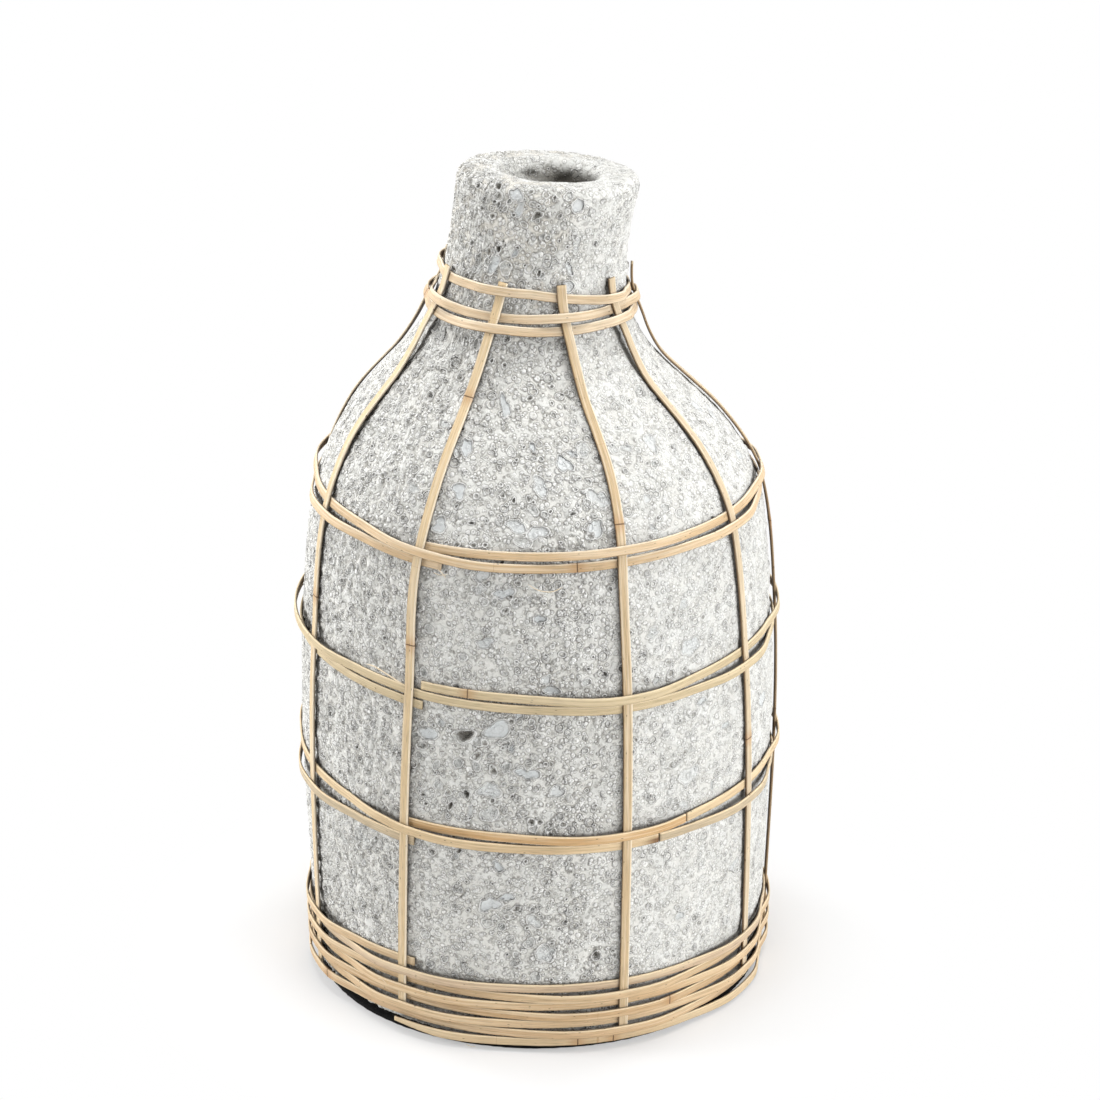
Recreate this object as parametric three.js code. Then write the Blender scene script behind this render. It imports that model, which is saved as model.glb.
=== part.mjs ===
import * as THREE from 'three';

// A hand-built concrete bottle vase in a woven cane cage, standing on a felt pad.
// Millimetres, +Z up, origin at the middle of the felt's underside, front towards -Y.
// Angles round the vase are degrees from the front, growing to the right (+X).

// Clearance left between pieces that lie against each other.
const FIT_GAP = 0.3;

// Felt pad under the foot.
const FELT_THICKNESS = 4;
const FELT_INSET = 1.5;

// Concrete bottle: radius at each height, and the rise from one height to the next.
const FOOT_RADIUS = 118;
const FOOT_ROUND = 5;
const BELLY_RISE = 121;
const BELLY_RADIUS = 121.8;
const WAIST_RISE = 71;
const WAIST_RADIUS = 120.4;
const SHOULDER_RISE = 68;
const SHOULDER_RADIUS = 112.7;
const TURN_RISE = 34;
const TURN_RADIUS = 95.8;
const SLOPE_RISE = 34;
const SLOPE_RADIUS = 65.1;
const ROOT_RISE = 18;
const ROOT_RADIUS = 52.9;
const NECK_RISE = 32;
const NECK_RADIUS = 45.2;
const RIM_RISE = 46.5;
const RIM_RADIUS = 45.5;
const RIM_ROUND = 6;

// The hollow: walls of the belly and of the neck, the floor, and the flared mouth.
const BODY_WALL = 16;
const NECK_WALL = 26;
const FLOOR_THICKNESS = 20;
const MOUTH_RADIUS = 25;
const MOUTH_ROUND = 4;
const MOUTH_DEPTH = 24;

// The neck sits crooked: the shoulder sags to the left, the neck leans right and back.
const SHOULDER_SAG = 5.4;
const NECK_LEAN = 12.3;
const NECK_SET_BACK = 5;
const NECK_CURL = 1.3;
const RIM_TILT_RIGHT = 4;
const RIM_TILT_BACK = 4.5;

// Cane: nine upright ribs with five bands of strip woven round them.
const RIB_WIDTH = 4.8;
const RIB_THICKNESS = 1.3;
const STRIP_THICKNESS = 1.2;
const RIB_TOP_ABOVE_NECK_BAND = 12.5;
const RIB_END_ABOVE_FELT = 5.5;
const FRONT_RIB_END_ABOVE_FELT = 14.5;
const ROOT_BRIDGE = 3;
const ROOT_BRIDGE_SPAN = 24;

// Angle of each rib at its top, on the slope, at the shoulder, at the waist and at the foot.
const RIB_ANGLES = [
  [-19.5, -24, -30, -30.6, -34.9],
  [15, 25, 21.3, 21.3, 21.2],
  [51, 61.5, 58, 58.3, 63],
  [88, 97, 94, 93, 93],
  [126, 132, 131, 131, 131],
  [165, 170, 170, 170, 170],
  [205, 209, 210, 210, 210],
  [248, 248, 251, 251, 250],
  [294, 291, 293, 294, 290],
];

// Widths of the woven strips and the height of each band against the bottle.
const NECK_STRIP_WIDTH = 4.8;
const NECK_BAND_BELOW_NECK = 12;
const SHOULDER_STRIP_WIDTH = 4.6;
const SHOULDER_BAND_ABOVE_SHOULDER = 2.4;
const MIDDLE_STRIP_WIDTH = 4.6;
const MIDDLE_BAND_BELOW_WAIST = 1.3;
const LOWER_STRIP_WIDTH = 4.9;
const LOWER_BAND_BELOW_BELLY = 5.5;
const BASE_STRIP_WIDTH = 4.7;
const BASE_STRIP_GAP = 0.5;
const BASE_ABOVE_FLOOR = 1.6;
const BASE_PITCH = BASE_STRIP_WIDTH + BASE_STRIP_GAP;

// How each strip wanders about its band's height, as [rib crossing, rise in strip widths]. Crossings
// are counted to the right from the first rib, so that a full turn adds the number of ribs.
const NECK_WANDER = [
  [-2.3, 1.6], [-1, 1.65], [0.3, 1.73], [1, 1.25], [2, 0.4], [3, -0.06], [5, -0.27], [8, -0.75],
  [11, -0.73], [12, -1.19], [14, -1.46], [17, -1.79], [20, -1.9], [21, -2.17], [24.4, -2.77],
];
const SHOULDER_WANDER = [
  [-0.02, 0.65], [2, 0.7], [8.2, 0.93], [9, 0], [9.4, -0.54], [11, -0.41], [17.2, -0.28],
  [18, -0.93], [18.13, -1.04],
];
const MIDDLE_WANDER = [
  [0.05, 1.02], [0.6, 0.7], [1, 0.09], [2, 0.78], [8, 0.76], [8.85, 0.26], [9.1, -0.13],
  [9.6, -0.52], [10, -1.09], [11, -0.7], [17, -0.37], [17.85, -0.96], [18.07, -1.3],
];
const LOWER_WANDER = [
  [-0.02, 0.84], [0.5, 0.69], [1, 0.41], [2, 0.86], [5, 1.14], [8, 1.27], [8.8, 0.61], [9, 0.16],
  [9.4, -0.41], [10, -0.86], [11, -0.78], [14, -0.67], [17, -0.61], [17.8, -1.06], [18.05, -1.31],
];

// How the base strip rises over its lowest place in a turn, in strip widths.
const BASE_TURN_START = 0.64;
const BASE_TURN_WANDER = [
  [0, BASE_TURN_START], [1, 0.26], [2, 0], [3, 0], [8, 1.32],
  [9, BASE_TURN_START + BASE_PITCH / BASE_STRIP_WIDTH],
];

// Share of the way between two ribs that a strip stays over a rib, and where it is down again.
const OVER_SHARE = 1 / 7;
const DOWN_SHARE = 4 / 7;

// How finely the pieces are faceted.
const BODY_SIDES = 48;
const EDGE_STEPS = 3;
const MOUTH_STEPS = 2;
const WALL_STEPS = 24;
const SHOULDER_STEPS = 14;
const NECK_STEPS = 3;
const HOLLOW_SLOPE_STEPS = 9;
const HOLLOW_WALL_STEPS = 5;
const RIB_NECK_STEPS = 14;
const RIB_SHOULDER_STEPS = 9;
const RIB_WALL_STEPS = 12;
const STEPS_BETWEEN_RIBS = 7;
const PROBE = 0.05;

// Heights that follow from the sizes above.
const FOOT_Z = FELT_THICKNESS + FIT_GAP;
const BELLY_Z = FOOT_Z + BELLY_RISE;
const WAIST_Z = BELLY_Z + WAIST_RISE;
const SHOULDER_Z = WAIST_Z + SHOULDER_RISE;
const TURN_Z = SHOULDER_Z + TURN_RISE;
const SLOPE_Z = TURN_Z + SLOPE_RISE;
const ROOT_Z = SLOPE_Z + ROOT_RISE;
const NECK_Z = ROOT_Z + NECK_RISE;
const RIM_Z = NECK_Z + RIM_RISE;
const FLOOR_Z = FOOT_Z + FLOOR_THICKNESS;
const NECK_BAND_Z = NECK_Z - NECK_BAND_BELOW_NECK;
const SHOULDER_BAND_Z = SHOULDER_Z + SHOULDER_BAND_ABOVE_SHOULDER;
const MIDDLE_BAND_Z = WAIST_Z - MIDDLE_BAND_BELOW_WAIST;
const LOWER_BAND_Z = BELLY_Z - LOWER_BAND_BELOW_BELLY;
const RIB_TOP_Z = NECK_BAND_Z + RIB_TOP_ABOVE_NECK_BAND;
const RIB_COUNT = RIB_ANGLES.length;

// Distance of a rib's middle from the concrete, and of a strip's middle from the rib's.
const RIB_LAYER = FIT_GAP + STRIP_THICKNESS + FIT_GAP + RIB_THICKNESS / 2;
const LAYER_STEP = RIB_THICKNESS / 2 + FIT_GAP + STRIP_THICKNESS / 2;

const { clamp, degToRad, lerp, smoothstep } = THREE.MathUtils;

// A smooth curve through [place, value] points, each slope taken from its neighbours.
function curveThrough(points) {
  const last = points.length - 1;
  const slopeAt = (i) => {
    const before = points[Math.max(i - 1, 0)];
    const after = points[Math.min(i + 1, last)];
    return (after[1] - before[1]) / (after[0] - before[0]);
  };
  return (place) => {
    const x = clamp(place, points[0][0], points[last][0]);
    let i = 0;
    while (i < last - 1 && x > points[i + 1][0]) {
      i += 1;
    }
    const span = points[i + 1][0] - points[i][0];
    const t = (x - points[i][0]) / span;
    const fromStart = points[i][1] * (1 - t) ** 2 * (1 + 2 * t) + slopeAt(i) * span * t * (1 - t) ** 2;
    const fromEnd = points[i + 1][1] * t ** 2 * (3 - 2 * t) - slopeAt(i + 1) * span * t ** 2 * (1 - t);
    return fromStart + fromEnd;
  };
}

// Outer radius of the concrete at a height.
const bodyRadius = curveThrough([
  [FOOT_Z, FOOT_RADIUS],
  [BELLY_Z, BELLY_RADIUS],
  [WAIST_Z, WAIST_RADIUS],
  [SHOULDER_Z, SHOULDER_RADIUS],
  [TURN_Z, TURN_RADIUS],
  [SLOPE_Z, SLOPE_RADIUS],
  [ROOT_Z, ROOT_RADIUS],
  [NECK_Z, NECK_RADIUS],
  [RIM_Z, RIM_RADIUS],
]);

// Radius of the hollow: the outer radius less the wall, which is square to the surface up to the neck.
function hollowRadius(z) {
  const outside = bodyRadius(Math.min(z, NECK_Z));
  const slope = z > NECK_Z ? 0 : (bodyRadius(z + PROBE) - bodyRadius(z - PROBE)) / (2 * PROBE);
  const wall = lerp(BODY_WALL, NECK_WALL, smoothstep(z, SLOPE_Z, NECK_Z));
  const flare = MOUTH_RADIUS - (NECK_RADIUS - NECK_WALL);
  const opening = flare * smoothstep(z, RIM_Z - MOUTH_DEPTH, RIM_Z) ** 2;
  return outside - wall * Math.hypot(1, slope) + opening;
}

// Radius that the cane follows: it bridges the hollow at the root of the neck.
function caneRadius(z) {
  const away = clamp((z - ROOT_Z) / ROOT_BRIDGE_SPAN, -1, 1);
  return bodyRadius(z) + ROOT_BRIDGE * Math.cos(away * Math.PI / 2) ** 2;
}

// Point of the crooked vase at an angle, a height on its axis and a radius.
function vasePoint(angle, z, radius) {
  const turn = degToRad(angle);
  const right = radius * Math.sin(turn);
  const front = radius * Math.cos(turn);
  const sag = SHOULDER_SAG * smoothstep(z, SHOULDER_Z, SLOPE_Z);
  const neck = clamp((z - SLOPE_Z) / (RIM_Z - SLOPE_Z), 0, 1);
  const tilt = smoothstep(z, SLOPE_Z, RIM_Z);
  const fall = right * Math.sin(degToRad(RIM_TILT_RIGHT)) - front * Math.sin(degToRad(RIM_TILT_BACK));
  return new THREE.Vector3(
    right - sag + NECK_LEAN * neck ** NECK_CURL,
    NECK_SET_BACK * tilt - front,
    z - fall * tilt,
  );
}

// Point at a distance outside the surface that the cane follows, with the outward normal.
function canePlace(angle, z, distance) {
  const at = (a, h) => vasePoint(a, h, caneRadius(h));
  const alongTurn = at(angle + PROBE, z).sub(at(angle - PROBE, z));
  const alongRise = at(angle, z + PROBE).sub(at(angle, z - PROBE));
  const normal = alongTurn.cross(alongRise).normalize();
  return { point: at(angle, z).addScaledVector(normal, distance), normal };
}

// Closed mesh from rings of points, listed anticlockwise about the way they advance.
function skinOf(rings, startPoint, endPoint) {
  const count = rings[0].length;
  const points = rings.flat();
  const faces = [];
  for (let ring = 0; ring < rings.length - 1; ring += 1) {
    for (let side = 0; side < count; side += 1) {
      const next = (side + 1) % count;
      const low = ring * count;
      const high = low + count;
      faces.push(low + side, low + next, high + next, low + side, high + next, high + side);
    }
  }
  const start = points.length;
  const end = start + 1;
  const lastRing = (rings.length - 1) * count;
  for (let side = 0; side < count; side += 1) {
    const next = (side + 1) % count;
    faces.push(start, next, side, end, lastRing + side, lastRing + next);
  }
  const positions = [...points, startPoint, endPoint].flatMap((point) => point.toArray());
  const geometry = new THREE.BufferGeometry();
  geometry.setAttribute('position', new THREE.Float32BufferAttribute(positions, 3));
  geometry.setIndex(faces);
  geometry.computeVertexNormals();
  return geometry;
}

// Evenly spaced values from one end to the other, both included.
function evenly(from, to, steps) {
  return Array.from({ length: steps + 1 }, (_, i) => lerp(from, to, i / steps));
}

// Profile of the concrete as [radius, height], from under the foot over the rim to the floor inside.
function bodyProfile() {
  const profile = [];
  for (const turn of evenly(0, Math.PI / 2, EDGE_STEPS)) {
    const z = FOOT_Z + FOOT_ROUND * (1 - Math.cos(turn));
    profile.push([bodyRadius(z) - FOOT_ROUND * (1 - Math.sin(turn)), z]);
  }
  const wallHeights = [
    ...evenly(FOOT_Z + FOOT_ROUND, SHOULDER_Z, WALL_STEPS).slice(1),
    ...evenly(SHOULDER_Z, NECK_Z, SHOULDER_STEPS).slice(1),
    ...evenly(NECK_Z, RIM_Z - RIM_ROUND, NECK_STEPS).slice(1),
  ];
  profile.push(...wallHeights.map((z) => [bodyRadius(z), z]));
  for (const turn of evenly(0, Math.PI / 2, EDGE_STEPS).slice(1)) {
    const z = RIM_Z - RIM_ROUND * (1 - Math.sin(turn));
    profile.push([bodyRadius(z) - RIM_ROUND * (1 - Math.cos(turn)), z]);
  }
  for (const turn of evenly(0, Math.PI / 2, MOUTH_STEPS)) {
    const z = RIM_Z - MOUTH_ROUND * (1 - Math.cos(turn));
    profile.push([hollowRadius(z) + MOUTH_ROUND * (1 - Math.sin(turn)), z]);
  }
  const hollowHeights = [
    ...evenly(RIM_Z - MOUTH_ROUND, RIM_Z - MOUTH_DEPTH, NECK_STEPS).slice(1),
    ...evenly(NECK_Z, SHOULDER_Z, HOLLOW_SLOPE_STEPS),
    ...evenly(SHOULDER_Z, FLOOR_Z, HOLLOW_WALL_STEPS).slice(1),
  ];
  profile.push(...hollowHeights.map((z) => [hollowRadius(z), z]));
  return profile;
}

// The hollow concrete bottle.
function concreteBody() {
  const angles = evenly(0, 360, BODY_SIDES).slice(0, -1);
  const rings = bodyProfile().map(([radius, z]) => angles.map((angle) => vasePoint(angle, z, radius)));
  return skinOf(rings, vasePoint(0, FOOT_Z, 0), vasePoint(0, FLOOR_Z, 0));
}

// The round felt pad.
function feltPad() {
  const radius = FOOT_RADIUS - FELT_INSET;
  const geometry = new THREE.CylinderGeometry(radius, radius, FELT_THICKNESS, BODY_SIDES);
  geometry.rotateX(Math.PI / 2);
  geometry.translate(0, 0, FELT_THICKNESS / 2);
  return geometry;
}

// Corner rings of a flat strip along a route of places on the cane's surface.
function stripRings(route, width, thickness) {
  return route.map(({ point, normal }, i) => {
    const before = route[Math.max(i - 1, 0)].point;
    const after = route[Math.min(i + 1, route.length - 1)].point;
    const along = after.clone().sub(before);
    const across = normal.clone().cross(along).normalize();
    const corner = (side, face) => point.clone()
      .addScaledVector(across, side * width / 2)
      .addScaledVector(normal, face * thickness / 2);
    return [corner(-1, -1), corner(1, -1), corner(1, 1), corner(-1, 1)];
  });
}

// Middle of a strip's cut end.
function ringMiddle(ring) {
  return ring.reduce((sum, corner) => sum.add(corner), new THREE.Vector3()).divideScalar(ring.length);
}

// A flat strip with square ends.
function stripGeometry(rings) {
  return skinOf(rings, ringMiddle(rings[0]), ringMiddle(rings[rings.length - 1]));
}

// Angle of each rib at a height.
const ribAngle = RIB_ANGLES.map(([top, slope, shoulder, waist, foot]) => curveThrough([
  [FOOT_Z, foot],
  [WAIST_Z, waist],
  [SHOULDER_Z, shoulder],
  [SLOPE_Z, slope],
  [RIB_TOP_Z, top],
]));

// Angle at a crossing number counted round from the first rib, whole numbers lying on ribs.
function crossingAngle(crossing, z) {
  const onRib = (number) => {
    const turns = Math.floor(number / RIB_COUNT);
    return ribAngle[number - turns * RIB_COUNT](z) + 360 * turns;
  };
  const rib = Math.floor(crossing);
  return lerp(onRib(rib), onRib(rib + 1), crossing - rib);
}

// One upright rib, from its top down to its end behind the base band.
function ribGeometry(index) {
  const clear = index === 0 ? FRONT_RIB_END_ABOVE_FELT : RIB_END_ABOVE_FELT;
  const heights = [
    ...evenly(RIB_TOP_Z, SLOPE_Z, RIB_NECK_STEPS),
    ...evenly(SLOPE_Z, SHOULDER_Z, RIB_SHOULDER_STEPS).slice(1),
    ...evenly(SHOULDER_Z, FELT_THICKNESS + clear, RIB_WALL_STEPS).slice(1),
  ];
  const route = heights.map((z) => canePlace(ribAngle[index](z), z, RIB_LAYER));
  return stripGeometry(stripRings(route, RIB_WIDTH, RIB_THICKNESS));
}

// Height of the base strip, which climbs one pitch with every turn.
function baseHeight(crossing) {
  const turns = Math.floor(crossing / RIB_COUNT);
  const rise = BASE_STRIP_WIDTH * curveThrough(BASE_TURN_WANDER)(crossing - turns * RIB_COUNT);
  return BASE_ABOVE_FLOOR + BASE_STRIP_WIDTH / 2 + turns * BASE_PITCH + rise;
}

// Height of a strip that wanders about a band's height.
function wanderAbout(height, width, wander) {
  const rise = curveThrough(wander);
  return (crossing) => height + width * rise(crossing);
}

// Bands of woven strip. Each strip runs to the right between its ends, in rib crossings, and swaps
// sides at every rib, apart from the listed floats.
const BANDS = [
  {
    name: 'weaver_neck',
    width: NECK_STRIP_WIDTH,
    ends: [-2.3, 24.4],
    overFirst: true,
    floats: [],
    height: wanderAbout(NECK_BAND_Z, NECK_STRIP_WIDTH, NECK_WANDER),
  },
  {
    name: 'weaver_shoulder',
    width: SHOULDER_STRIP_WIDTH,
    ends: [-0.02, 18.13],
    overFirst: false,
    floats: [],
    height: wanderAbout(SHOULDER_BAND_Z, SHOULDER_STRIP_WIDTH, SHOULDER_WANDER),
  },
  {
    name: 'weaver_middle',
    width: MIDDLE_STRIP_WIDTH,
    ends: [0.05, 18.07],
    overFirst: false,
    floats: [8, 10, 17, 18],
    height: wanderAbout(MIDDLE_BAND_Z, MIDDLE_STRIP_WIDTH, MIDDLE_WANDER),
  },
  {
    name: 'weaver_lower',
    width: LOWER_STRIP_WIDTH,
    ends: [-0.02, 18.05],
    overFirst: false,
    floats: [],
    height: wanderAbout(LOWER_BAND_Z, LOWER_STRIP_WIDTH, LOWER_WANDER),
  },
  {
    name: 'weaver_base',
    width: BASE_STRIP_WIDTH,
    ends: [-0.05, 63.06],
    overFirst: true,
    floats: [],
    height: baseHeight,
  },
];

// Side of the ribs on which a strip passes a crossing: 1 over, -1 under.
function crossingSide(band, crossing) {
  const floats = band.floats.filter((number) => number <= crossing).length;
  const swaps = crossing - floats;
  const even = Math.abs(swaps) % 2 === 0;
  return even === band.overFirst ? 1 : -1;
}

// Side between crossings: the strip lifts over a rib and then lies back against the concrete.
function sideAlong(band, crossing) {
  const rib = Math.floor(crossing);
  const part = crossing - rib;
  const here = crossingSide(band, rib);
  const next = crossingSide(band, rib + 1);
  const down = smoothstep(part, OVER_SHARE, DOWN_SHARE);
  const up = smoothstep(part, 1 - DOWN_SHARE, 1 - OVER_SHARE);
  return lerp(here, next, here > next ? down : up);
}

// Route of one woven strip as places on the cane's surface.
function weaverRoute(band) {
  const [start, end] = band.ends;
  const crossings = [start];
  for (let step = Math.floor(start * STEPS_BETWEEN_RIBS) + 1; step < end * STEPS_BETWEEN_RIBS; step += 1) {
    crossings.push(step / STEPS_BETWEEN_RIBS);
  }
  crossings.push(end);
  return crossings.map((crossing) => {
    const z = band.height(crossing);
    const distance = RIB_LAYER + LAYER_STEP * sideAlong(band, crossing);
    return canePlace(crossingAngle(crossing, z), z, distance);
  });
}

// Least distance between corner points of one turn of a strip and those of its other turns.
function leastGapToItself(rings) {
  const halfTurn = Math.floor(RIB_COUNT * STEPS_BETWEEN_RIBS / 2);
  let least = Infinity;
  for (let i = 0; i < rings.length; i += 1) {
    for (let j = i + halfTurn; j < rings.length; j += 1) {
      for (const one of rings[i]) {
        for (const other of rings[j]) {
          least = Math.min(least, one.distanceTo(other));
        }
      }
    }
  }
  return least;
}

// One woven strip.
function weaverGeometry(band) {
  const rings = stripRings(weaverRoute(band), band.width, STRIP_THICKNESS);
  console.log(`${band.name}: least gap to itself ${leastGapToItself(rings).toFixed(2)} mm`);
  return stripGeometry(rings);
}

const concrete = () => new THREE.MeshStandardMaterial({ color: '#c9c9c5', roughness: 0.95, metalness: 0 });
const cane = () => new THREE.MeshStandardMaterial({ color: '#d8bf98', roughness: 0.6, metalness: 0 });
const felt = () => new THREE.MeshStandardMaterial({ color: '#17171a', roughness: 1, metalness: 0 });

const vase = new THREE.Group();

// Adds one named piece to the vase.
function addPiece(name, geometry, material) {
  const mesh = new THREE.Mesh(geometry, material);
  mesh.name = name;
  vase.add(mesh);
}

addPiece('vase_body', concreteBody(), concrete());
addPiece('felt_pad', feltPad(), felt());
for (let index = 0; index < RIB_COUNT; index += 1) {
  addPiece(`rib_${index + 1}`, ribGeometry(index), cane());
}
for (const band of BANDS) {
  addPiece(band.name, weaverGeometry(band), cane());
}

export default vase;
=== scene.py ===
import math
from collections import namedtuple

import bpy
import numpy as np
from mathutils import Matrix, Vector, noise


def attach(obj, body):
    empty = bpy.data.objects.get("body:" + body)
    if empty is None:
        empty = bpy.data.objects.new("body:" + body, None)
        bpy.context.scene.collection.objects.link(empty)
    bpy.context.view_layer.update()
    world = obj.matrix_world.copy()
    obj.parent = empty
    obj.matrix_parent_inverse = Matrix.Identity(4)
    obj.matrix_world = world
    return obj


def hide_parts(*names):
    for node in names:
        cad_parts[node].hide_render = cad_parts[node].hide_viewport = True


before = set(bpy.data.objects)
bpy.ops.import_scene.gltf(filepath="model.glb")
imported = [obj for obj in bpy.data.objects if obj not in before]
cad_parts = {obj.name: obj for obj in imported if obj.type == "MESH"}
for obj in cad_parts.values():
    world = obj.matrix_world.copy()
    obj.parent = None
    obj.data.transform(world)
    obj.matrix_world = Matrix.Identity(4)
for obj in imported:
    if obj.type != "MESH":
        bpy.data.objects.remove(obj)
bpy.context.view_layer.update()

# Looks of a concrete bottle vase in a woven cane cage. Shapes are worked out in millimetres in the
# part's own frame and become metres when a mesh is made. Angles are degrees from the front, growing
# to the right.
MM = 0.001
BODY = "root"

# The bottle, as in the part.
FIT_GAP = 0.3
FELT_THICKNESS = 4
FELT_INSET = 1.5
FOOT_ROUND = 5
FOOT_Z = FELT_THICKNESS + FIT_GAP
BELLY_Z = FOOT_Z + 121
WAIST_Z = BELLY_Z + 71
SHOULDER_Z = WAIST_Z + 68
TURN_Z = SHOULDER_Z + 34
SLOPE_Z = TURN_Z + 34
ROOT_Z = SLOPE_Z + 18
NECK_Z = ROOT_Z + 32
RIM_Z = NECK_Z + 46.5
FLOOR_Z = FOOT_Z + 20
FOOT_RADIUS = 118
NECK_RADIUS = 45.2
RIM_ROUND = 6
BODY_WALL = 16
NECK_WALL = 26
MOUTH_RADIUS = 25
MOUTH_ROUND = 4
MOUTH_DEPTH = 24
SHOULDER_SAG = 5.4
NECK_LEAN = 12.3
NECK_CURL = 1.3
NECK_SET_BACK = 5
RIM_TILT_RIGHT = 4
RIM_TILT_BACK = 4.5

# The cane, as in the part.
RIB_WIDTH = 4.8
RIB_THICKNESS = 1.3
STRIP_THICKNESS = 1.2
NECK_BAND_Z = NECK_Z - 12
RIB_TOP_Z = NECK_BAND_Z + 12.5
RIB_END_Z = FELT_THICKNESS + 5.5
FRONT_RIB_END_Z = FELT_THICKNESS + 14.5
ROOT_BRIDGE = 3
ROOT_BRIDGE_SPAN = 24
BASE_STRIP_WIDTH = 4.7
BASE_PITCH = BASE_STRIP_WIDTH + 0.5
BASE_LOW_Z = 1.6 + BASE_STRIP_WIDTH / 2
RIB_LAYER = FIT_GAP + STRIP_THICKNESS + FIT_GAP + RIB_THICKNESS / 2
LAYER_STEP = RIB_THICKNESS / 2 + FIT_GAP + STRIP_THICKNESS / 2
OVER_SHARE = 1 / 7
DOWN_SHARE = 4 / 7
RIB_ANGLES = [
    (-19.5, -24, -30, -30.6, -34.9),
    (15, 25, 21.3, 21.3, 21.2),
    (51, 61.5, 58, 58.3, 63),
    (88, 97, 94, 93, 93),
    (126, 132, 131, 131, 131),
    (165, 170, 170, 170, 170),
    (205, 209, 210, 210, 210),
    (248, 248, 251, 251, 250),
    (294, 291, 293, 294, 290),
]
RIB_COUNT = len(RIB_ANGLES)
NECK_WANDER = [
    (-2.3, 1.6), (-1, 1.65), (0.3, 1.73), (1, 1.25), (2, 0.4), (3, -0.06), (5, -0.27), (8, -0.75),
    (11, -0.73), (12, -1.19), (14, -1.46), (17, -1.79), (20, -1.9), (21, -2.17), (24.4, -2.77),
]
SHOULDER_WANDER = [
    (-0.02, 0.65), (2, 0.7), (8.2, 0.93), (9, 0), (9.4, -0.54), (11, -0.41), (17.2, -0.28),
    (18, -0.93), (18.13, -1.04),
]
MIDDLE_WANDER = [
    (0.05, 1.02), (0.6, 0.7), (1, 0.09), (2, 0.78), (8, 0.76), (8.85, 0.26), (9.1, -0.13),
    (9.6, -0.52), (10, -1.09), (11, -0.7), (17, -0.37), (17.85, -0.96), (18.07, -1.3),
]
LOWER_WANDER = [
    (-0.02, 0.84), (0.5, 0.69), (1, 0.41), (2, 0.86), (5, 1.14), (8, 1.27), (8.8, 0.61), (9, 0.16),
    (9.4, -0.41), (10, -0.86), (11, -0.78), (14, -0.67), (17, -0.61), (17.8, -1.06), (18.05, -1.31),
]
BASE_TURN_START = 0.64
BASE_TURN_WANDER = [
    (0, BASE_TURN_START), (1, 0.26), (2, 0), (3, 0), (8, 1.32),
    (9, BASE_TURN_START + BASE_PITCH / BASE_STRIP_WIDTH),
]

# Fineness of the meshes. Slopes are probed over a short reach.
SKIN_COLUMNS = 960
SKIN_ANGLES = np.arange(SKIN_COLUMNS) * 360 / SKIN_COLUMNS
SKIN_STEP = 0.78
PROFILE_STEP = 0.5
STRIP_STEP = 1.6
FELT_SIDES = 360
BAND_POINTS = 4000
PROBE = 0.05


def ease(value, low, high):
    """Smooth rise from 0 at low to 1 at high."""
    share = np.clip((value - low) / (high - low), 0, 1)
    return share * share * (3 - 2 * share)


def fall(value, low, high):
    """Smooth fall from 1 at low to 0 at high."""
    return 1 - ease(value, low, high)


def curve_through(points):
    """A smooth curve through (place, value) points, its slopes taken from their neighbours."""
    place, value = np.array(points, float).T
    order = np.arange(len(points))
    before = np.maximum(order - 1, 0)
    after = np.minimum(order + 1, len(points) - 1)
    slope = (value[after] - value[before]) / (place[after] - place[before])

    def curve(at):
        x = np.clip(np.asarray(at, float), place[0], place[-1])
        i = np.clip(np.searchsorted(place, x) - 1, 0, len(points) - 2)
        span = place[i + 1] - place[i]
        t = (x - place[i]) / span
        from_start = value[i] * (1 - t) ** 2 * (1 + 2 * t) + slope[i] * span * t * (1 - t) ** 2
        from_end = value[i + 1] * t ** 2 * (3 - 2 * t) - slope[i + 1] * span * t ** 2 * (1 - t)
        return from_start + from_end

    return curve


body_radius = curve_through([
    (FOOT_Z, FOOT_RADIUS), (BELLY_Z, 121.8), (WAIST_Z, 120.4), (SHOULDER_Z, 112.7), (TURN_Z, 95.8),
    (SLOPE_Z, 65.1), (ROOT_Z, 52.9), (NECK_Z, NECK_RADIUS), (RIM_Z, 45.5),
])


def hollow_radius(z):
    """Radius of the hollow inside the concrete."""
    slope = (body_radius(z + PROBE) - body_radius(z - PROBE)) / (2 * PROBE)
    slope = np.where(z > NECK_Z, 0, slope)
    wall = BODY_WALL + (NECK_WALL - BODY_WALL) * ease(z, SLOPE_Z, NECK_Z)
    flare = MOUTH_RADIUS - (NECK_RADIUS - NECK_WALL)
    opening = flare * ease(z, RIM_Z - MOUTH_DEPTH, RIM_Z) ** 2
    return body_radius(np.minimum(z, NECK_Z)) - wall * np.hypot(1, slope) + opening


def cane_radius(z):
    """Radius that the cane follows, which bridges the hollow at the root of the neck."""
    away = np.clip((z - ROOT_Z) / ROOT_BRIDGE_SPAN, -1, 1)
    return body_radius(z) + ROOT_BRIDGE * np.cos(away * math.pi / 2) ** 2


def vase_point(angle, z, radius):
    """Points of the crooked vase at angles, heights on its axis and radii."""
    right = radius * np.sin(np.radians(angle))
    front = radius * np.cos(np.radians(angle))
    sag = SHOULDER_SAG * ease(z, SHOULDER_Z, SLOPE_Z)
    neck = np.clip((z - SLOPE_Z) / (RIM_Z - SLOPE_Z), 0, 1)
    tilt = ease(z, SLOPE_Z, RIM_Z)
    to_right = right * math.sin(math.radians(RIM_TILT_RIGHT))
    to_back = front * math.sin(math.radians(RIM_TILT_BACK))
    x = right - sag + NECK_LEAN * neck ** NECK_CURL
    y = NECK_SET_BACK * tilt - front
    return np.stack(np.broadcast_arrays(x, y, z - (to_right - to_back) * tilt), axis=-1)


def unit(vectors):
    """Vectors scaled to length 1."""
    return vectors / np.linalg.norm(vectors, axis=-1, keepdims=True)


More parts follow.
